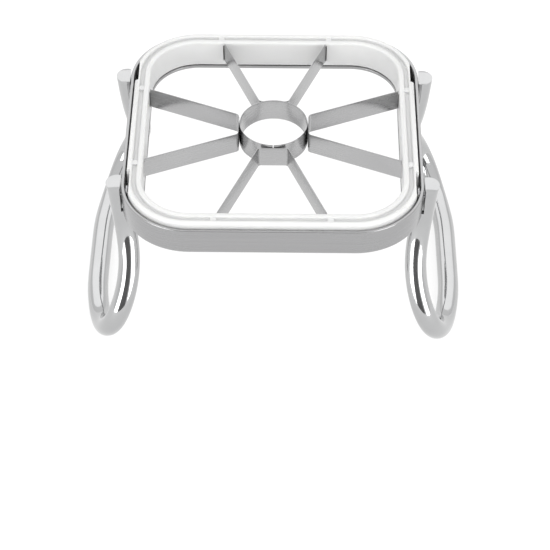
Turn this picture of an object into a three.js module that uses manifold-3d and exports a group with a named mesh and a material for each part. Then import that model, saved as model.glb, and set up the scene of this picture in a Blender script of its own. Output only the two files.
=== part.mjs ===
// Wedge cutter of a vegetable dicer: a square steel band on two looped rod handles, which holds a
// white moulded insert with a steel core ring and eight radial blade arms.
// Millimetres. +X runs from the left handle to the right one, +Y to the back, +Z up.
// The origin is on the ground, midway between the handle loops that the dicer stands on.
import * as THREE from 'three';
import { NURBSCurve } from 'three/addons/curves/NURBSCurve.js';
import { mergeVertices } from 'three/addons/utils/BufferGeometryUtils.js';
import Module from 'manifold-3d';

const wasm = await Module();
wasm.setup();

// ---------- driving dimensions ----------

const rodRadius = 4;
const loopDrop = 67.5; // from the top of the band down to the rod's centre line at the foot of a loop
const bandTop = loopDrop + rodRadius;

// Control points of the front half of the right handle's centre line, from its top end to the foot:
// distance out from the middle, distance to the front, and drop below the top of the band.
const rodControl = [
  { out: 57, side: 30.4, drop: -5 },
  { out: 55.4, side: 28, drop: 17 },
  { out: 51.6, side: 36, drop: 32.5 },
  { out: 56, side: 49.5, drop: 47.5 },
  { out: 62, side: 48, drop: 59.5 },
  { out: 66.2, side: 36, drop: loopDrop },
  { out: 68.8, side: 20, drop: loopDrop },
  { out: 68.8, side: 8, drop: loopDrop },
];
const rodSteps = 84;
const rodArcSteps = 15; // in each half of the rod's round section

const cornerCentre = 29.5; // centre of every corner's arcs, from the middle of the square
const cornerSteps = 12;
const gap = 0.3; // between pieces that touch on the real dicer
const overlap = 0.2; // of solids that are joined into one
const past = 1; // how far a cutting solid runs past the face it cuts

const band = { half: 55, wall: 1.2, height: 10.5, ledge: 1.3, ledgeHalf: 47.2, edge: 0.35 };
const bandBottom = bandTop - band.height;
const bandInner = band.half - band.wall;

const insert = {
  half: 53.2, // outer face of the outer wall
  outerWall: 2,
  groove: 1.6,
  innerWall: 2.2,
  rise: 2.2, // of both walls above the top of the band
  grooveDepth: 2.4, // below the top of the walls
};
const insertBottom = bandBottom + band.ledge + gap;
const grooveOuter = insert.half - insert.outerWall;
const grooveInner = grooveOuter - insert.groove;
const insertInner = grooveInner - insert.innerWall;
const insertTop = bandTop + insert.rise;
const grooveFloor = insertTop - insert.grooveDepth;

const rib = { width: 2.2, sink: 0.5 };

const blade = { thickness: 0.5, height: 8.5, sink: 0.1, bend: 1.5 };
const bladeTop = insertTop - blade.sink;
const tongue = { bite: 0.7, sink: 1.6 }; // a blade's moulded-in end: past the wall, and below the top edge
const armAngle = Math.PI / 8; // between an arm and the square's nearest axis

const core = { radius: 12.8, wall: 0.5, height: 8.9, seam: 0.3, proud: 0.9 };

const screw = {
  side: 29.5, // from the middle of the square
  shank: 1.5,
  head: 2.7,
  headHeight: 1.2,
  reach: 3.2, // into the rod
  socket: 1.25,
  socketDepth: 0.7,
};
const screwHeight = bandTop - band.height / 2;
const screwHole = screw.shank + gap;
const recess = { from: 25, to: 36.5, depth: 1.3 }; // where the insert clears a screw's head

const seatDepth = band.height + 0.6; // milled flat on a rod's end, below the top of the band
const rodSeat = band.half + gap;

// ---------- materials ----------

function metal(color, roughness) {
  return new THREE.MeshStandardMaterial({ color, roughness, metalness: 1 });
}

const bandSteel = metal(0xb4b6b8, 0.32);
const rodSteel = metal(0xd2d4d6, 0.14);
const bladeSteel = metal(0xbcbec0, 0.24);
const screwSteel = metal(0xa2a4a6, 0.28);
const whitePlastic = new THREE.MeshStandardMaterial({ color: 0xf2f3f3, roughness: 0.42, metalness: 0 });

// ---------- solids ----------

function toSolid(geometry) {
  const bare = geometry.index ? geometry.clone() : mergeVertices(geometry);
  bare.deleteAttribute('normal');
  bare.deleteAttribute('uv');
  const merged = mergeVertices(bare, 1e-4);
  const vertProperties = Float32Array.from(merged.attributes.position.array);
  const triVerts = Uint32Array.from(merged.index.array);
  return new wasm.Manifold(new wasm.Mesh({ numProp: 3, vertProperties, triVerts }));
}

function toMesh(name, solid, material) {
  const result = solid.getMesh();
  const geometry = new THREE.BufferGeometry();
  geometry.setAttribute('position', new THREE.BufferAttribute(result.vertProperties, 3));
  geometry.setIndex(new THREE.BufferAttribute(result.triVerts, 1));
  geometry.computeVertexNormals();
  const mesh = new THREE.Mesh(geometry, material);
  mesh.name = name;
  return mesh;
}

function box(low, high) {
  const size = high.map((value, axis) => value - low[axis]);
  const geometry = new THREE.BoxGeometry(...size);
  geometry.translate(...low.map((value, axis) => value + size[axis] / 2));
  return toSolid(geometry);
}

function turned(solid, quarterTurns) {
  return solid.rotate([0, 0, 90 * quarterTurns]);
}

// Each corner is [across, up, radius]; a radius rounds that corner with a short arc.
function roundedOutline(corners, steps = 3) {
  return corners.flatMap(([x, y, radius], i) => {
    const here = new THREE.Vector2(x, y);
    if (!radius) {
      return [here];
    }
    const before = new THREE.Vector2(...corners.at(i - 1).slice(0, 2)).sub(here).normalize();
    const after = new THREE.Vector2(...corners[(i + 1) % corners.length].slice(0, 2)).sub(here).normalize();
    const half = before.angleTo(after) / 2;
    const centre = before.clone().add(after).normalize().multiplyScalar(radius / Math.sin(half)).add(here);
    const start = before.clone().multiplyScalar(radius / Math.tan(half)).add(here).sub(centre);
    const end = after.clone().multiplyScalar(radius / Math.tan(half)).add(here).sub(centre);
    const from = start.angle();
    const sweep = Math.atan2(start.cross(end), start.dot(end));
    return Array.from({ length: steps + 1 }, (_, k) => {
      const angle = from + (sweep * k) / steps;
      return new THREE.Vector2(Math.cos(angle), Math.sin(angle)).multiplyScalar(radius).add(centre);
    });
  });
}

// Sweeps an outline of (half width, height) points round the square, with round corners.
// The outline runs counter-clockwise.
function squareRing(outline) {
  const stations = [];
  for (let corner = 0; corner < 4; corner += 1) {
    const middle = new THREE.Vector2(cornerCentre, cornerCentre);
    middle.rotateAround(new THREE.Vector2(), (corner * Math.PI) / 2);
    for (let step = 0; step <= cornerSteps; step += 1) {
      const angle = ((corner + step / cornerSteps) * Math.PI) / 2;
      stations.push({ middle, angle });
    }
  }
  const points = stations.flatMap(({ middle, angle }) => outline.map(({ x, y }) => [
    middle.x + (x - cornerCentre) * Math.cos(angle),
    middle.y + (x - cornerCentre) * Math.sin(angle),
    y,
  ]));
  const count = outline.length;
  const faces = [];
  stations.forEach((_, i) => {
    const here = i * count;
    const next = ((i + 1) % stations.length) * count;
    for (let j = 0; j < count; j += 1) {
      const k = (j + 1) % count;
      faces.push(here + j, next + j, next + k, here + j, next + k, here + k);
    }
  });
  const geometry = new THREE.BufferGeometry();
  geometry.setAttribute('position', new THREE.Float32BufferAttribute(points.flat(), 3));
  geometry.setIndex(faces);
  return toSolid(geometry);
}

// A cylinder along +X from x, centred on the screw's axis on the right side of the square.
function screwCylinder(x, length, radius, side, facets = 24) {
  const geometry = new THREE.CylinderGeometry(radius, radius, length, facets);
  geometry.rotateZ(-Math.PI / 2);
  geometry.translate(x + length / 2, side, screwHeight);
  return toSolid(geometry);
}

// ---------- band and handles ----------

function bandBody() {
  const ring = squareRing(roundedOutline([
    [band.ledgeHalf, bandBottom, 0],
    [band.half, bandBottom, band.edge],
    [band.half, bandTop, band.edge],
    [bandInner, bandTop, band.edge],
    [bandInner, bandBottom + band.ledge, 0],
    [band.ledgeHalf, bandBottom + band.ledge, 0],
  ]));
  const holes = [-screw.side, screw.side].map((side) => (
    screwCylinder(bandInner - past, band.wall + 2 * past, screwHole, side)
  ));
  const bothSides = holes.flatMap((hole) => [hole, turned(hole, 2)]);
  return bothSides.reduce((solid, hole) => solid.subtract(hole), ring);
}

function rodCentreLine() {
  const front = rodControl.map(({ out, side, drop }) => new THREE.Vector4(out, -side, bandTop - drop, 1));
  const back = front.map(({ x, y, z }) => new THREE.Vector4(x, -y, z, 1)).reverse();
  const points = [...front, ...back];
  const degree = 3;
  const spans = points.length - degree;
  const inner = Array.from({ length: spans + 1 }, (_, i) => i);
  const knots = [...Array(degree).fill(0), ...inner, ...Array(degree).fill(spans)];
  return new NURBSCurve(degree, knots, points);
}

function handle() {
  const circle = new THREE.Shape().absarc(0, 0, rodRadius, 0, 2 * Math.PI);
  const rod = toSolid(new THREE.ExtrudeGeometry(circle, {
    extrudePath: rodCentreLine(),
    steps: rodSteps,
    curveSegments: rodArcSteps,
  }));
  const above = box([0, -band.half, bandTop], [2 * band.half, band.half, 2 * bandTop]);
  const seat = box([0, -band.half, bandTop - seatDepth], [rodSeat, band.half, 2 * bandTop]);
  const depth = screw.reach + gap;
  const holes = [-screw.side, screw.side].map((side) => (
    screwCylinder(rodSeat - past, depth + past, screwHole, side)
  ));
  return [above, seat, ...holes].reduce((solid, cut) => solid.subtract(cut), rod);
}

function handleScrew(side) {
  const underHead = bandInner - gap;
  const headFace = underHead - screw.headHeight;
  const head = screwCylinder(headFace, screw.headHeight, screw.head, side);
  const shankStart = underHead - overlap;
  const shank = screwCylinder(shankStart, rodSeat + screw.reach - shankStart, screw.shank, side);
  const socket = screwCylinder(headFace - past, screw.socketDepth + past, screw.socket, side, 6);
  return head.add(shank).subtract(socket);
}

// ---------- insert ----------

// A box along the arm that leaves the middle at armAngle from +X.
function alongArm(from, to, width, low, high) {
  const straight = box([from, -width / 2, low], [to, width / 2, high]);
  return straight.rotate([0, 0, THREE.MathUtils.radToDeg(armAngle)]);
}

const armEnd = (grooveInner + tongue.bite) / Math.cos(armAngle);

function insertRib(mirror) {
  const middle = (grooveInner + insert.groove / 2) * Math.tan(armAngle) * mirror;
  const low = [grooveInner - overlap, middle - rib.width / 2, grooveFloor - overlap];
  const high = [grooveOuter + overlap, middle + rib.width / 2, insertTop - rib.sink];
  return box(low, high);
}

function bladePocket(mirror) {
  const low = bladeTop - blade.height - gap;
  const high = bladeTop - tongue.sink + gap;
  const pocket = alongArm(insertInner - past, armEnd + gap, blade.thickness + 2 * gap, low, high);
  return mirror > 0 ? pocket : pocket.mirror([0, 1, 0]);
}

function screwRecess(mirror) {
  const ends = [recess.from * mirror, recess.to * mirror].sort((a, b) => a - b);
  const low = [insert.half - recess.depth, ends[0], insertBottom - past];
  const high = [insert.half + past, ends[1], insertTop + past];
  return box(low, high);
}

function insertBody() {
  let body = squareRing(roundedOutline([
    [insertInner, insertBottom, 0.4],
    [insert.half, insertBottom, 0.4],
    [insert.half, insertTop, 1.1],
    [grooveOuter, insertTop, 0.8],
    [grooveOuter, grooveFloor, 0.7],
    [grooveInner, grooveFloor, 0.7],
    [grooveInner, insertTop, 0.8],
    [insertInner, insertTop, 0.7],
  ]));
  for (let side = 0; side < 4; side += 1) {
    for (const mirror of [-1, 1]) {
      body = body.add(turned(insertRib(mirror), side));
      body = body.subtract(turned(bladePocket(mirror), side));
    }
  }
  for (const side of [0, 2]) {
    for (const mirror of [-1, 1]) {
      body = body.subtract(turned(screwRecess(mirror), side));
    }
  }
  return body;
}

// ---------- blades ----------

// The centre line of one bent strip, seen from above: in along one arm, across a short flat beside
// the core ring, and out along the next arm.
function stripLine() {
  const flat = core.radius + gap + blade.thickness / 2;
  const turn = flat * Math.tan(armAngle);
  const end = new THREE.Vector2(Math.cos(armAngle), Math.sin(armAngle)).multiplyScalar(armEnd);
  return roundedOutline([
    [end.x, -end.y, 0],
    [flat, -turn, blade.bend],
    [flat, turn, blade.bend],
    [end.x, end.y, 0],
  ], 5);
}

function strip() {
  const line = stripLine();
  const offset = (sign) => line.map((point, i) => {
    const before = line[Math.max(i - 1, 0)];
    const after = line[Math.min(i + 1, line.length - 1)];
    const along = after.clone().sub(before).normalize();
    return new THREE.Vector2(-along.y, along.x).multiplyScalar((sign * blade.thickness) / 2).add(point);
  });
  const outline = new THREE.Shape([...offset(1), ...offset(-1).reverse()]);
  const geometry = new THREE.ExtrudeGeometry(outline, { depth: blade.height, bevelEnabled: false });
  geometry.translate(0, 0, bladeTop - blade.height);
  const wallFace = (insertInner - gap) / Math.cos(armAngle);
  const width = blade.thickness + 2 * past;
  const aboveTongue = alongArm(wallFace, armEnd + past, width, bladeTop - tongue.sink, bladeTop + past);
  return toSolid(geometry).subtract(aboveTongue).subtract(aboveTongue.mirror([0, 1, 0]));
}

function coreRing() {
  const halfSeam = core.seam / 2 / core.radius;
  const front = -Math.PI / 2;
  const outline = new THREE.Shape();
  outline.absarc(0, 0, core.radius, front + halfSeam, front + 2 * Math.PI - halfSeam, false);
  outline.absarc(0, 0, core.radius - core.wall, front + 2 * Math.PI - halfSeam, front + halfSeam, true);
  const geometry = new THREE.ExtrudeGeometry(outline, {
    depth: core.height,
    bevelEnabled: false,
    curveSegments: 32,
  });
  geometry.translate(0, 0, bladeTop + core.proud - core.height);
  return toSolid(geometry);
}

// ---------- assembly ----------

const dicer = new THREE.Group();
dicer.name = 'vegetable_dicer';

dicer.add(toMesh('band', bandBody(), bandSteel));
for (const [name, quarterTurns] of [['right', 0], ['left', 2]]) {
  dicer.add(toMesh(`handle_${name}`, turned(handle(), quarterTurns), rodSteel));
  const frontSide = quarterTurns ? screw.side : -screw.side;
  dicer.add(toMesh(`screw_${name}_front`, turned(handleScrew(frontSide), quarterTurns), screwSteel));
  dicer.add(toMesh(`screw_${name}_back`, turned(handleScrew(-frontSide), quarterTurns), screwSteel));
}
dicer.add(toMesh('insert_frame', insertBody(), whitePlastic));
dicer.add(toMesh('core_ring', coreRing(), bladeSteel));
['right', 'back', 'left', 'front'].forEach((name, quarterTurns) => {
  dicer.add(toMesh(`blade_${name}`, turned(strip(), quarterTurns), bladeSteel));
});

export default dicer;
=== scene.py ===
"""Looks of a vegetable dicer: rod handles, a steel band, a white moulded insert and its blades."""

import math

import bmesh
import bpy
from mathutils import Matrix, Vector


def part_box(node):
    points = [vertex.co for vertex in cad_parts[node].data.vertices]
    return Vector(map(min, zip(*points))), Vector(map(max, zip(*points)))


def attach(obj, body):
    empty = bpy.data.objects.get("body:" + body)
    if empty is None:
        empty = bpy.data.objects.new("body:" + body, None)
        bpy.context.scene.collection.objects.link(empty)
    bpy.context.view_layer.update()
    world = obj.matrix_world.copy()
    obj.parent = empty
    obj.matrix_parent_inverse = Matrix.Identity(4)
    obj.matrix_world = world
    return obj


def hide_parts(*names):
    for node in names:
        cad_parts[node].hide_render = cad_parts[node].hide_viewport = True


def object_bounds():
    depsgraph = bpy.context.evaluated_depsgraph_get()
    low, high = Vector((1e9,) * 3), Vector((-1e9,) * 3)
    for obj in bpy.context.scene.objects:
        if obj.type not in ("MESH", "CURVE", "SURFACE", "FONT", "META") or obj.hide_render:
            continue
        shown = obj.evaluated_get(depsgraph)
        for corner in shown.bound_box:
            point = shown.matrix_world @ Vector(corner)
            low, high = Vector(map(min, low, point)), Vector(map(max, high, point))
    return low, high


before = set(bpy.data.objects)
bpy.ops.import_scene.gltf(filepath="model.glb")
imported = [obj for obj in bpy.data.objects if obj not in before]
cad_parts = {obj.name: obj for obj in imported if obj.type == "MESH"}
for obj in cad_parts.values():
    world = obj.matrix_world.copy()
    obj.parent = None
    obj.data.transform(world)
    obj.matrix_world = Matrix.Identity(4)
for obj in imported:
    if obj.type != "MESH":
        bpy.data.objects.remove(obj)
cad_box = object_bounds()

# ---------- sizes, in metres ----------

MM = 0.001

BAND_LOW, BAND_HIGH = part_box("band")
INSERT_LOW, INSERT_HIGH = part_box("insert_frame")
BLADE_LOW, BLADE_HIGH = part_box("blade_right")
RING_LOW, RING_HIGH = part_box("core_ring")
SCREW_LOW, SCREW_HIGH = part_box("screw_right_back")

CORNER_CENTRE = 29.5 * MM  # centre of every corner's arcs, from the middle of the square
CORNER_STEPS = 40
ROUND_SIDES = 48  # of screws and holes
GAP = 0.3 * MM  # clearance between pieces that fit together
TOUCH = 0.03 * MM  # clearance between pieces that are welded together

BAND_WALL = 1.2 * MM
BAND_LEDGE = 1.3 * MM
BAND_LEDGE_HALF = 47.2 * MM
BAND_EDGE = 0.35 * MM
BAND_HALF = BAND_HIGH.x
BAND_INNER = BAND_HALF - BAND_WALL

INSERT_OUTER_WALL = 2 * MM
INSERT_INNER_WALL = 2.2 * MM
INSERT_FOOT_EDGE = 0.4 * MM
INSERT_OUTER_EDGE = 1.1 * MM
INSERT_CUT_EDGE = 0.2 * MM
GROOVE_WIDTH = 1.6 * MM
GROOVE_DEPTH = 1.4 * MM
GROOVE_EDGE = 0.8 * MM
GROOVE_FILLET = 0.5 * MM
INSERT_HALF = INSERT_HIGH.y
GROOVE_OUTER = INSERT_HALF - INSERT_OUTER_WALL
GROOVE_INNER = GROOVE_OUTER - GROOVE_WIDTH
INSERT_INNER = GROOVE_INNER - INSERT_INNER_WALL
GROOVE_FLOOR = INSERT_HIGH.z - GROOVE_DEPTH
RIB_WIDTH = 2.2 * MM
RIB_SINK = 0.5 * MM  # a rib's top lies this far below the rim
RIB_BITE = 0.2 * MM  # how far a rib reaches into the walls and the floor
RECESS_FROM, RECESS_TO, RECESS_DEPTH = 25 * MM, 36.5 * MM, 1.3 * MM  # room for the screws' heads

ROD_RADIUS = 4 * MM
ROD_SIDES = 72
ROD_STEPS = 260
ROD_SEAT = BAND_HALF + GAP
SEAT_DEPTH = BAND_HIGH.z - BAND_LOW.z + 0.6 * MM  # height of the flat milled on a rod's end
ROD_END_EDGE = 0.25 * MM

# The front half of the right handle's centre line, from its top end to the foot of its loop:
# distance out, distance to the front, and drop below the top of the band.
ROD_CONTROL = (
    (57 * MM, 30.4 * MM, -5 * MM),
    (55.4 * MM, 28 * MM, 17 * MM),
    (51.6 * MM, 36 * MM, 32.5 * MM),
    (56 * MM, 49.5 * MM, 47.5 * MM),
    (62 * MM, 48 * MM, 59.5 * MM),
    (66.2 * MM, 36 * MM, 67.5 * MM),
    (68.8 * MM, 20 * MM, 67.5 * MM),
    (68.8 * MM, 8 * MM, 67.5 * MM),
)

BLADE_THICKNESS = 0.5 * MM
BLADE_BEND = 1.5 * MM
GRIND_HEIGHT = 0.9 * MM
GRIND_EDGE = 0.12 * MM  # thickness left at the cutting edge
BEND_STEPS = 8
GROUND_FACES = (2, 3, 4)  # places round blade_section's outline
TONGUE_BITE = 0.7 * MM  # how far a blade's end reaches under the groove
TONGUE_SINK = 1.6 * MM  # below the cutting edge
TONGUE_EDGE = 0.1 * MM
ARM_ANGLE = math.pi / 8
ARM_END = (GROOVE_INNER + TONGUE_BITE) / math.cos(ARM_ANGLE)
RING_RADIUS = RING_HIGH.x
RING_WALL = 0.5 * MM
RING_SEAM = 0.3 * MM
RING_STEPS = 144

SCREW_SIDE = (SCREW_LOW.y + SCREW_HIGH.y) / 2
SCREW_Z = (SCREW_LOW.z + SCREW_HIGH.z) / 2
SCREW_HEAD = (SCREW_HIGH.z - SCREW_LOW.z) / 2
SCREW_HEAD_HEIGHT = 1.2 * MM
SCREW_HEAD_EDGE = 0.1 * MM
SCREW_DOME = 0.7 * MM  # height of the head's rounded rim
SCREW_DOME_STEPS = 6
SCREW_FACE = 0.72  # radius of the head's flat face, in head radii
SCREW_SHANK = 1.5 * MM
SCREW_TIP_EDGE = 0.3 * MM
SCREW_REACH = 3.2 * MM  # beyond the rod's flat
SCREW_SOCKET = 1.25 * MM
SCREW_SOCKET_DEPTH = 0.7 * MM

# ---------- studio, in metres and degrees ----------

CAMERA_ELEVATION = 41.63
CAMERA_TURN = -0.66
CAMERA_DISTANCE = 0.727
CAMERA_LENS = 127.1
CAMERA_OFFSET = (-4.314, -0.045, 0.03)  # turns of the lens down, aside and about its own line

FLOOR_RADIUS = 6
FLOOR_GREY = 0.2
FLOOR_GLOW = 0.76
HORIZON_LIGHT = 0.95
OVERHEAD_LIGHT = 1.1
OVERHEAD_FROM = 0.6  # height on the unit sphere where the sky reaches its full strength

SOFTBOX_SIDE = 46
FLAG_GREY = 0.12
FLAG_WIDTH, FLAG_HEIGHT = 0.95, 0.78
FLAG_CENTRE = Vector((-0.09, -1.1, 0.34))
MATT_ROUGHNESS = 0.9


# ---------- node materials ----------


class Surface:
    """A material's node tree, with short calls for the nodes that the looks below are made of."""

    def __init__(self, name):
        self.material = bpy.data.materials.new(name)
        self.material.use_nodes = True
        self.nodes = self.material.node_tree.nodes
        self.links = self.material.node_tree.links
        self.shader = self.nodes["Principled BSDF"]

    def node(self, kind, **inputs):
        made = self.nodes.new("ShaderNode" + kind)
        for key, value in inputs.items():
            self.put(made.inputs[key.replace("_", " ")], value)
        return made

    def put(self, socket, value):
        if isinstance(value, bpy.types.NodeSocket):
            self.links.new(value, socket)
        else:
            socket.default_value = value

    def set(self, **inputs):
        for key, value in inputs.items():
            self.put(self.shader.inputs[key.replace("_", " ")], value)

    def place(self, source, scale):
        """The object's own position ("Object") or the length and girth along a strip or rod ("UV")."""
        coordinates = self.node("TexCoord")
        return self.node("Mapping", Vector=coordinates.outputs[source], Scale=scale).outputs["Vector"]

    def noise(self, source, scale, detail=3.0, roughness=0.55):
        spot = self.place(source, scale)
        made = self.node("TexNoise", Vector=spot, Scale=1.0, Detail=detail, Roughness=roughness)
        return made.outputs["Fac"]

    def span(self, value, low, high, from_low=0.3, from_high=0.7):
        made = self.node("MapRange", Value=value)
        made.inputs["From Min"].default_value = from_low
        made.inputs["From Max"].default_value = from_high
        made.inputs["To Min"].default_value = low
        made.inputs["To Max"].default_value = high
        return made.outputs["Result"]

    def math(self, operation, first, second):
        made = self.nodes.new("ShaderNodeMath")
        made.operation = operation
        self.put(made.inputs[0], first)
        self.put(made.inputs[1], second)
        return made.outputs["Value"]

    def tint(self, value, dark, light, from_low=0.3, from_high=0.7):
        ramp = self.nodes.new("ShaderNodeValToRGB")
        ramp.color_ramp.elements[0].position = from_low
        ramp.color_ramp.elements[0].color = (*dark, 1)
        ramp.color_ramp.elements[1].position = from_high
        ramp.color_ramp.elements[1].color = (*light, 1)
        self.put(ramp.inputs["Fac"], value)
        return ramp.outputs["Color"]

    def bump(self, height, strength, distance, under=None):
        made = self.node("Bump", Height=height, Strength=strength, Distance=distance)
        if under is not None:
            self.put(made.inputs["Normal"], under)
        return made.outputs["Normal"]

    def scratches(self, scale, threshold, turn=0.0):
        """1 on sparse fine lines, 0 between them."""
        coordinates = self.node("TexCoord")
        mapping = self.node("Mapping", Vector=coordinates.outputs["UV"], Scale=scale)
        mapping.inputs["Rotation"].default_value = (0, 0, turn)
        lines = self.node("TexNoise", Vector=mapping.outputs["Vector"], Scale=1.0, Detail=1.0).outputs["Fac"]
        return self.span(lines, 0, 1, threshold, threshold + 0.04)


def polished_rod():
    surface = Surface("polished_rod")
    cloudy = surface.noise("Object", (70, 70, 70))
    drawn = surface.noise("UV", (9, 2600, 1), detail=2)
    nicks = surface.scratches((60, 3800, 1), 0.68, turn=0.02)
    worn = surface.math("MULTIPLY", nicks, 0.14)
    surface.set(
        Metallic=1.0,
        Base_Color=surface.tint(cloudy, (0.445, 0.447, 0.45), (0.475, 0.477, 0.48)),
        Roughness=surface.math("ADD", surface.span(cloudy, 0.045, 0.09), worn),
        Normal=surface.bump(drawn, 0.05, 0.05 * MM),
    )
    return surface.material


def satin_band():
    surface = Surface("satin_band")
    cloudy = surface.noise("Object", (38, 38, 38))
    grain = surface.noise("UV", (26, 5200, 1), detail=4, roughness=0.6)
    broad = surface.noise("UV", (14, 900, 1), detail=2)
    nicks = surface.scratches((45, 4200, 1), 0.66, turn=-0.03)
    rough = surface.math("ADD", surface.span(grain, 0.22, 0.27), surface.span(cloudy, -0.03, 0.04))
    surface.set(
        Metallic=1.0,
        Base_Color=surface.tint(broad, (0.36, 0.36, 0.363), (0.375, 0.375, 0.378)),
        Roughness=surface.math("ADD", rough, surface.math("MULTIPLY", nicks, 0.04)),
        Normal=surface.bump(grain, 0.012, 0.02 * MM),
    )
    return surface.material


def rolled_blade():
    surface = Surface("rolled_blade")
    cloudy = surface.noise("Object", (55, 55, 80))
    lines = surface.noise("UV", (40, 6500, 1), detail=3)
    nicks = surface.scratches((90, 3000, 1), 0.67, turn=0.05)
    rough = surface.math("ADD", surface.span(lines, 0.22, 0.26), surface.span(cloudy, -0.02, 0.04))
    surface.set(
        Metallic=1.0,
        Base_Color=surface.tint(cloudy, (0.42, 0.42, 0.423), (0.45, 0.45, 0.453)),
        Roughness=surface.math("ADD", rough, surface.math("MULTIPLY", nicks, 0.04)),
        Normal=surface.bump(lines, 0.012, 0.02 * MM),
    )
    return surface.material


def ground_edge():
    surface = Surface("ground_edge")
    marks = surface.noise("UV", (4200, 60, 1), detail=2)
    surface.set(
        Metallic=1.0,
        Base_Color=surface.tint(marks, (0.26, 0.26, 0.263), (0.36, 0.36, 0.363)),
        Roughness=surface.span(marks, 0.22, 0.36),
        Normal=surface.bump(marks, 0.15, 0.03 * MM),
    )
    return surface.material


def turned_screw():
    surface = Surface("turned_screw")
    rings = surface.noise("UV", (30, 5200, 1), detail=2)
    cloudy = surface.noise("Object", (260, 260, 260))
    surface.set(
        Metallic=1.0,
        Base_Color=surface.tint(cloudy, (0.42, 0.42, 0.43), (0.56, 0.56, 0.57)),
        Roughness=surface.span(rings, 0.16, 0.3),
        Normal=surface.bump(rings, 0.15, 0.03 * MM),
    )
    return surface.material


def white_plastic():
    surface = Surface("white_plastic")
    cloudy = surface.noise("Object", (45, 45, 45))
    grain = surface.noise("Object", (2600, 2600, 2600), detail=2)
    swell = surface.noise("Object", (160, 160, 160), detail=1)
    nicks = surface.scratches((50, 1900, 1), 0.68, turn=0.04)
    fine = surface.bump(grain, 0.16, 0.04 * MM)
    surface.set(
        Metallic=0.0,
        Base_Color=surface.tint(cloudy, (0.525, 0.527, 0.525), (0.545, 0.546, 0.543)),
        Roughness=surface.math("ADD", surface.span(cloudy, 0.34, 0.44), surface.math("MULTIPLY", nicks, 0.2)),
        Normal=surface.bump(swell, 0.1, 0.1 * MM, under=fine),
        Subsurface_Weight=0.4,
        Subsurface_Radius=(1.0, 1.0, 0.9),
        Subsurface_Scale=2.5 * MM,
        IOR=1.5,
    )
    return surface.material


# ---------- meshes ----------


def new_object(name, mesh):
    made = bpy.data.objects.new(name, mesh)
    bpy.context.scene.collection.objects.link(made)
    return made


def arc_lengths(points, closed):
    lengths = [0.0]
    ends = points[1:] + points[:1] if closed else points[1:]
    for a, b in zip(points, ends):
        lengths.append(lengths[-1] + (b - a).length)
    return lengths


def swept(name, rings, closed=False, second_material=()):
    """A closed mesh through rings of points, with the length along it and round it in its UV map.
    second_material lists the places round the ring whose faces take the second material."""
    count = len(rings[0])
    along = arc_lengths([sum(ring, Vector()) / count for ring in rings], closed)
    around = arc_lengths(list(rings[0]), True)
    made = bmesh.new()
    uv = made.loops.layers.uv.new("UVMap")
    verts = [[made.verts.new(point) for point in ring] for ring in rings]
    for i in range(len(rings) if closed else len(rings) - 1):
        near, far = verts[i], verts[(i + 1) % len(rings)]
        for j in range(count):
            k = (j + 1) % count
            face = made.faces.new((near[j], near[k], far[k], far[j]))
            face.material_index = 1 if j in second_material else 0
            spots = ((i, j), (i, j + 1), (i + 1, j + 1), (i + 1, j))
            for loop, (a, b) in zip(face.loops, spots):
                loop[uv].uv = (along[a], around[b])
    if not closed:
        for ring in (verts[0], verts[-1]):
            cap = made.faces.new(ring)
            for loop in cap.loops:
                loop[uv].uv = (loop.vert.co.x + loop.vert.co.y, loop.vert.co.z)
    bmesh.ops.recalc_face_normals(made, faces=made.faces)
    mesh = bpy.data.meshes.new(name)
    made.to_mesh(mesh)
    made.free()
    return new_object(name, mesh)


def apply_modifiers(piece):
    graph = bpy.context.evaluated_depsgraph_get()
    mesh = bpy.data.meshes.new_from_object(piece.evaluated_get(graph))
    piece.modifiers.clear()
    piece.data = mesh


def combine(piece, tools, operation="DIFFERENCE"):
    for tool in tools:
        modifier = piece.modifiers.new("cut", "BOOLEAN")
        modifier.operation = operation
        modifier.solver = "EXACT"
        modifier.object = tool
    apply_modifiers(piece)
    for tool in tools:
        bpy.data.objects.remove(tool)


def soften(piece, width, angle=40):
    """Rounds the edges where two faces meet at more than angle degrees."""
    modifier = piece.modifiers.new("edges", "BEVEL")
    modifier.width = width
    modifier.segments = 2
    modifier.limit_method = "ANGLE"
    modifier.angle_limit = math.radians(angle)
    apply_modifiers(piece)


def shade(piece, angle=35):
    """Smooth faces, with a hard line where two meet at more than angle degrees."""
    mesh = piece.data
    mesh.shade_smooth()
    mesh.set_sharp_from_angle(angle=math.radians(angle))


def block(low, high):
    """A box used to cut or add."""
    made = bmesh.new()
    made.loops.layers.uv.new("UVMap")
    bmesh.ops.create_cube(made, size=1)
    size = Vector(high) - Vector(low)
    centre = (Vector(high) + Vector(low)) / 2
    for vert in made.verts:
        vert.co = centre + Vector(a * b for a, b in zip(vert.co, size))
    mesh = bpy.data.meshes.new("tool")
    made.to_mesh(mesh)
    made.free()
    return new_object("tool", mesh)


def round_bar(radius, start, end, sides=ROUND_SIDES):
    """A bar along X used to cut: round, or with the given number of sides."""
    rings = []
    for x in (start.x, end.x):
        turns = [2 * math.pi * k / sides for k in range(sides)]
        offsets = [(radius * math.cos(turn), radius * math.sin(turn)) for turn in turns]
        rings.append([Vector((x, start.y + across, start.z + up)) for across, up in offsets])
    return swept("tool", rings)


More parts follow.
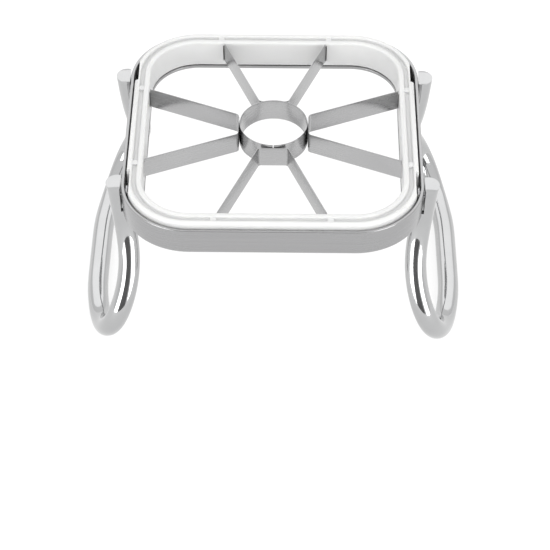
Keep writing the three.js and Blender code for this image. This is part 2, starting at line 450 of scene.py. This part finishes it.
def rounded(corners, steps=5):
    """An outline through corners of (across, up, radius), with an arc at each corner that has a radius."""
    points = []
    for i, (x, y, radius) in enumerate(corners):
        here = Vector((x, y))
        if not radius:
            points.append(here)
            continue
        before = (Vector(corners[i - 1][:2]) - here).normalized()
        after = (Vector(corners[(i + 1) % len(corners)][:2]) - here).normalized()
        half = before.angle(after) / 2
        centre = here + (before + after).normalized() * radius / math.sin(half)
        start = here + before * radius / math.tan(half) - centre
        end = here + after * radius / math.tan(half) - centre
        sweep = math.atan2(start.x * end.y - start.y * end.x, start.dot(end))
        for k in range(steps + 1):
            points.append(centre + Matrix.Rotation(sweep * k / steps, 2) @ start)
    return points


def square_ring(name, corners):
    """Sweeps an outline of (half width, height) round the square."""
    outline = rounded(corners)
    rings = []
    for corner in range(4):
        middle = Matrix.Rotation(math.pi / 2 * corner, 3, "Z") @ Vector((CORNER_CENTRE, CORNER_CENTRE, 0))
        for step in range(CORNER_STEPS + 1):
            angle = math.pi / 2 * (corner + step / CORNER_STEPS)
            outward = Vector((math.cos(angle), math.sin(angle), 0))
            rings.append([middle + outward * (p.x - CORNER_CENTRE) + Vector((0, 0, p.y)) for p in outline])
    return swept(name, rings, closed=True)


def turned(piece, quarter_turns):
    piece.data.transform(Matrix.Rotation(math.pi / 2 * quarter_turns, 4, "Z"))
    return piece


def hang(piece, body, slot, materials, *nodes):
    """Gives a finished piece its materials, its CAD body and the CAD nodes that it stands for."""
    piece.data.materials.clear()
    for material in materials:
        piece.data.materials.append(material)
    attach(piece, body)
    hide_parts(*nodes)


# ---------- band and handles ----------


def band():
    piece = square_ring("steel_band", [
        (BAND_LEDGE_HALF, BAND_LOW.z, BAND_EDGE),
        (BAND_HALF, BAND_LOW.z, BAND_EDGE),
        (BAND_HALF, BAND_HIGH.z, BAND_EDGE),
        (BAND_INNER, BAND_HIGH.z, BAND_EDGE),
        (BAND_INNER, BAND_LOW.z + BAND_LEDGE, 0),
        (BAND_LEDGE_HALF, BAND_LOW.z + BAND_LEDGE, BAND_EDGE),
    ])
    holes = []
    for side in (-SCREW_SIDE, SCREW_SIDE):
        for outward in (-1, 1):
            start = Vector((outward * (BAND_INNER - MM), side, SCREW_Z))
            end = Vector((outward * (BAND_HALF + MM), side, SCREW_Z))
            holes.append(round_bar(SCREW_SHANK + GAP, start, end))
    combine(piece, holes)
    shade(piece)
    return piece


def spline_point(control, knots, degree, at):
    """De Boor's rule for a B-spline."""
    span = degree
    while span < len(control) - 1 and knots[span + 1] <= at:
        span += 1
    points = [control[span - degree + j].copy() for j in range(degree + 1)]
    for level in range(1, degree + 1):
        for j in range(degree, level - 1, -1):
            left = knots[span - degree + j]
            right = knots[span + 1 + j - level]
            share = (at - left) / (right - left)
            points[j] = points[j - 1].lerp(points[j], share)
    return points[degree]


def rod_line():
    front = [Vector((out, -side, BAND_HIGH.z - drop)) for out, side, drop in ROD_CONTROL]
    control = front + [Vector((p.x, -p.y, p.z)) for p in reversed(front)]
    degree = 3
    spans = len(control) - degree
    knots = [0] * degree + list(range(spans + 1)) + [spans] * degree
    return [spline_point(control, knots, degree, spans * i / ROD_STEPS) for i in range(ROD_STEPS + 1)]


def rod_rings(line):
    """Circles square to the line, each turned as little as possible from the one before."""
    rings = []
    side = Vector((1, 0, 0))
    for i, point in enumerate(line):
        ahead = (line[min(i + 1, len(line) - 1)] - line[max(i - 1, 0)]).normalized()
        side = (side - ahead * side.dot(ahead)).normalized()
        up = ahead.cross(side)
        spots = [2 * math.pi * k / ROD_SIDES for k in range(ROD_SIDES)]
        rings.append([point + (side * math.cos(a) + up * math.sin(a)) * ROD_RADIUS for a in spots])
    return rings


def handle(name, quarter_turns):
    piece = swept(name, rod_rings(rod_line()))
    top = BAND_HIGH.z
    above = block((0, -BAND_HALF, top), (2 * BAND_HALF, BAND_HALF, 2 * top))
    seat = block((0, -BAND_HALF, top - SEAT_DEPTH), (ROD_SEAT, BAND_HALF, 2 * top))
    combine(piece, [above, seat])
    soften(piece, ROD_END_EDGE)
    shade(piece, 30)
    return turned(piece, quarter_turns)


def screw(name, side, quarter_turns):
    """A low domed head with a hexagon socket, and a plain shank, as a shape turned about X."""
    under_head = BAND_INNER - GAP
    face = under_head - SCREW_HEAD_HEIGHT
    end = ROD_SEAT + SCREW_REACH
    profile = []
    for k in range(SCREW_DOME_STEPS + 1):
        turn = math.pi / 2 * k / SCREW_DOME_STEPS
        radius = SCREW_HEAD * (SCREW_FACE + (1 - SCREW_FACE) * math.sin(turn))
        profile.append((face + SCREW_DOME * (1 - math.cos(turn)), radius))
    profile += [
        (under_head - SCREW_HEAD_EDGE, SCREW_HEAD),
        (under_head, SCREW_HEAD - SCREW_HEAD_EDGE),
        (under_head, SCREW_SHANK),
        (end - SCREW_TIP_EDGE, SCREW_SHANK),
        (end, SCREW_SHANK - SCREW_TIP_EDGE),
    ]
    turns = [2 * math.pi * k / ROUND_SIDES for k in range(ROUND_SIDES)]
    circle = [(math.cos(turn), math.sin(turn)) for turn in turns]
    rings = []
    for x, radius in profile:
        rings.append([Vector((x, side + radius * across, SCREW_Z + radius * up)) for across, up in circle])
    piece = swept(name, rings)
    start = Vector((face - MM, side, SCREW_Z))
    socket = round_bar(SCREW_SOCKET, start, start + Vector((MM + SCREW_SOCKET_DEPTH, 0, 0)), sides=6)
    combine(piece, [socket])
    shade(piece, 30)
    return turned(piece, quarter_turns)


# ---------- insert ----------


def along_arm(start, end, width, low, high, mirror):
    """A block along the line of one of the two arms that lie beside the X axis."""
    tool = block((start, -width / 2, low), (end, width / 2, high))
    tool.data.transform(Matrix.Rotation(ARM_ANGLE * mirror, 4, "Z"))
    return tool


def insert_body():
    """The white moulding: two walls and a groove with ribs, with slots for the blades' ends."""
    top = INSERT_HIGH.z
    piece = square_ring("insert_moulding", [
        (INSERT_INNER, INSERT_LOW.z, INSERT_FOOT_EDGE),
        (INSERT_HALF, INSERT_LOW.z, INSERT_FOOT_EDGE),
        (INSERT_HALF, top, INSERT_OUTER_EDGE),
        (GROOVE_OUTER, top, GROOVE_EDGE),
        (GROOVE_OUTER, GROOVE_FLOOR, GROOVE_FILLET),
        (GROOVE_INNER, GROOVE_FLOOR, GROOVE_FILLET),
        (GROOVE_INNER, top, GROOVE_EDGE),
        (INSERT_INNER, top, GROOVE_EDGE),
    ])
    ribs, pockets, recesses = [], [], []
    for side in range(4):
        for mirror in (-1, 1):
            middle = (GROOVE_INNER + GROOVE_OUTER) / 2 * math.tan(ARM_ANGLE) * mirror
            low = (GROOVE_INNER - RIB_BITE, middle - RIB_WIDTH / 2, GROOVE_FLOOR - RIB_BITE)
            high = (GROOVE_OUTER + RIB_BITE, middle + RIB_WIDTH / 2, top - RIB_SINK)
            ribs.append(turned(block(low, high), side))
            pocket_low = BLADE_LOW.z - GAP
            pocket_high = BLADE_HIGH.z - TONGUE_SINK + GAP
            width = BLADE_THICKNESS + 2 * GAP
            pocket = along_arm(INSERT_INNER - MM, ARM_END + GAP, width, pocket_low, pocket_high, mirror)
            pockets.append(turned(pocket, side))
    for side in (0, 2):
        for mirror in (-1, 1):
            ends = sorted((RECESS_FROM * mirror, RECESS_TO * mirror))
            low = (INSERT_HALF - RECESS_DEPTH, ends[0], INSERT_LOW.z - MM)
            high = (INSERT_HALF + MM, ends[1], top + MM)
            recesses.append(turned(block(low, high), side))
    combine(piece, ribs, "UNION")
    combine(piece, pockets + recesses)
    soften(piece, INSERT_CUT_EDGE, angle=60)
    shade(piece, 40)
    return piece


# ---------- blades ----------


def blade_section(low, high, grind=GRIND_HEIGHT, edge=GRIND_EDGE):
    """(across, up) round a blade whose top narrows to edge over the height of grind."""
    half = BLADE_THICKNESS / 2
    shoulder = high - grind
    return [
        (-half, low),
        (half, low),
        (half, shoulder),
        (edge / 2, high),
        (-edge / 2, high),
        (-half, shoulder),
    ]


def strip(name, quarter_turns):
    """A strip bent twice round a flat on the ring. Its arms end in low tongues in the moulding."""
    flat = RING_RADIUS + TOUCH + BLADE_THICKNESS / 2
    turn = flat * math.tan(ARM_ANGLE)
    end = Vector((math.cos(ARM_ANGLE), math.sin(ARM_ANGLE))) * ARM_END
    wall = end * (INSERT_INNER - GAP) / math.cos(ARM_ANGLE) / ARM_END
    bends = rounded([
        (end.x, -end.y, 0),
        (flat, -turn, BLADE_BEND),
        (flat, turn, BLADE_BEND),
        (end.x, end.y, 0),
    ], BEND_STEPS)
    line = [bends[0], Vector((wall.x, -wall.y)), *bends[1:-1], wall, bends[-1]]
    last = len(line) - 1

    full = blade_section(BLADE_LOW.z, BLADE_HIGH.z)
    tongue = blade_section(BLADE_LOW.z, BLADE_HIGH.z - TONGUE_SINK, TONGUE_EDGE, BLADE_THICKNESS)
    stepped = {0: [tongue], 1: [tongue, full], last - 1: [full, tongue], last: [tongue]}

    rings = []
    for i, point in enumerate(line):
        ahead = (line[min(i + 1, last)] - line[max(i - 1, 0)]).normalized()
        across = Vector((ahead.y, -ahead.x))
        for section in stepped.get(i, [full]):
            rings.append([Vector((point.x + across.x * x, point.y + across.y * x, z)) for x, z in section])
    piece = swept(name, rings, second_material=GROUND_FACES)
    shade(piece, 20)
    return turned(piece, quarter_turns)


def core_ring():
    """A strip rolled to a ring, with its seam at the front."""
    seam = RING_SEAM / RING_RADIUS
    centre = RING_RADIUS - RING_WALL / 2
    section = blade_section(RING_LOW.z, RING_HIGH.z)
    rings = []
    for i in range(RING_STEPS + 1):
        angle = -math.pi / 2 + seam / 2 + (2 * math.pi - seam) * i / RING_STEPS
        outward = Vector((math.cos(angle), math.sin(angle), 0))
        rings.append([outward * (centre + x) + Vector((0, 0, z)) for x, z in section])
    piece = swept("ring_strip", rings, second_material=GROUND_FACES)
    shade(piece, 20)
    return piece


# ---------- assembly ----------


def build():
    rod = polished_rod()
    satin = satin_band()
    plastic = white_plastic()
    blade = rolled_blade()
    ground = ground_edge()
    turned_steel = turned_screw()
    hang(band(), "frame", "band_steel", [satin], "band")
    for name, quarter_turns in (("right", 0), ("left", 2)):
        hang(handle(f"rod_{name}", quarter_turns), "frame", "rod_steel", [rod], f"handle_{name}")
        for end, side in (("front", -SCREW_SIDE), ("back", SCREW_SIDE)):
            local_side = -side if quarter_turns else side
            piece = screw(f"fixing_{name}_{end}", local_side, quarter_turns)
            hang(piece, "frame", "screw_steel", [turned_steel], f"screw_{name}_{end}")
    hang(insert_body(), "insert", "white_plastic", [plastic], "insert_frame")
    hang(core_ring(), "insert", "blade_steel", [blade, ground], "core_ring")
    for quarter_turns, name in enumerate(("right", "back", "left", "front")):
        hang(strip(f"strip_{name}", quarter_turns), "insert", "blade_steel", [blade, ground], f"blade_{name}")


# ---------- studio ----------


def matt_material(name, grey):
    surface = Surface(name)
    surface.set(Base_Color=(grey, grey, grey, 1), Roughness=MATT_ROUGHNESS)
    return surface


def floor():
    """A pale disc that glows a little, so that it is as white as the sky."""
    made = bmesh.new()
    bmesh.ops.create_circle(made, cap_ends=True, segments=96, radius=FLOOR_RADIUS)
    mesh = bpy.data.meshes.new("floor")
    made.to_mesh(mesh)
    made.free()
    piece = new_object("floor", mesh)
    piece.location.z = cad_box[0].z
    paint = matt_material("floor_paint", FLOOR_GREY)
    paint.set(Emission_Color=(1, 1, 1, 1), Emission_Strength=FLOOR_GLOW)
    mesh.materials.append(paint.material)


def aim(piece, at):
    piece.rotation_euler = (at - piece.location).to_track_quat("-Z", "Y").to_euler()


def softbox(name, azimuth, elevation, distance, width, height, radiance):
    """An area light that shines on the band. Azimuth 0 is in front of it, and 90 at its right."""
    light = bpy.data.lights.new(name, "AREA")
    light.shape = "RECTANGLE"
    light.size = width
    light.size_y = height
    light.energy = math.pi * width * height * radiance
    made = new_object(name, light)
    a, e = math.radians(azimuth), math.radians(elevation)
    made.location = Vector((math.sin(a) * math.cos(e), -math.cos(a) * math.cos(e), math.sin(e))) * distance
    aim(made, Vector((0, 0, BAND_LOW.z)))
    return made


def softboxes():
    """One at each side, one behind the object, and a fill light that leaves no reflection."""
    for side, azimuth in (("left", -SOFTBOX_SIDE), ("right", SOFTBOX_SIDE)):
        softbox(f"softbox_{side}", azimuth, elevation=12, distance=1.3, width=0.7, height=1.0, radiance=4.0)
    softbox("softbox_back", 180, elevation=42, distance=1.3, width=2.6, height=0.9, radiance=0.55)
    fill = softbox("fill", 0, elevation=45, distance=1.2, width=0.8, height=0.6, radiance=4.5)
    fill.visible_glossy = False


def flag():
    """A dark card in front of the object and behind the camera, for the rods to reflect."""
    made = bmesh.new()
    bmesh.ops.create_grid(made, x_segments=1, y_segments=1, size=0.5)
    mesh = bpy.data.meshes.new("flag")
    made.to_mesh(mesh)
    made.free()
    piece = new_object("flag", mesh)
    piece.scale = (FLAG_WIDTH, FLAG_HEIGHT, 1)
    piece.location = FLAG_CENTRE
    aim(piece, Vector((FLAG_CENTRE.x, 0, FLAG_CENTRE.z)))
    piece.visible_camera = False
    mesh.materials.append(matt_material("flag_cloth", FLAG_GREY).material)


def sky():
    """Soft light from all round: weaker at the horizon than overhead."""
    world = bpy.data.worlds.new("studio")
    bpy.context.scene.world = world
    world.use_nodes = True
    nodes, links = world.node_tree.nodes, world.node_tree.links
    coordinates = nodes.new("ShaderNodeTexCoord")
    parts = nodes.new("ShaderNodeSeparateXYZ")
    ramp = nodes.new("ShaderNodeMapRange")
    links.new(coordinates.outputs["Generated"], parts.inputs["Vector"])
    links.new(parts.outputs["Z"], ramp.inputs["Value"])
    ramp.inputs["From Min"].default_value = 0.0
    ramp.inputs["From Max"].default_value = OVERHEAD_FROM
    ramp.inputs["To Min"].default_value = HORIZON_LIGHT
    ramp.inputs["To Max"].default_value = OVERHEAD_LIGHT
    links.new(ramp.outputs["Result"], nodes["Background"].inputs["Strength"])
    nodes["Background"].inputs["Color"].default_value = (1, 1, 1, 1)


def camera():
    """Looks down at the front of the square. The lens points a little below the square's centre."""
    elevation = math.radians(CAMERA_ELEVATION)
    turn = math.radians(CAMERA_TURN)
    target = Vector((0, 0, BAND_HIGH.z))
    level = Vector((math.sin(turn), math.cos(turn), 0))
    towards = level * math.cos(elevation) - Vector((0, 0, math.sin(elevation)))
    data = bpy.data.cameras.new("camera")
    data.lens = CAMERA_LENS
    data.clip_end = 50
    made = new_object("camera", data)
    below, aside, tilt = (math.radians(angle) for angle in CAMERA_OFFSET)
    look = towards.to_track_quat("-Z", "Y").to_matrix()
    look @= Matrix.Rotation(below, 3, "X") @ Matrix.Rotation(aside, 3, "Y") @ Matrix.Rotation(tilt, 3, "Z")
    made.matrix_world = Matrix.Translation(target - towards * CAMERA_DISTANCE) @ look.to_4x4()
    bpy.context.scene.camera = made


build()
floor()
sky()
softboxes()
flag()
camera()
bpy.context.scene.view_settings.view_transform = "Standard"
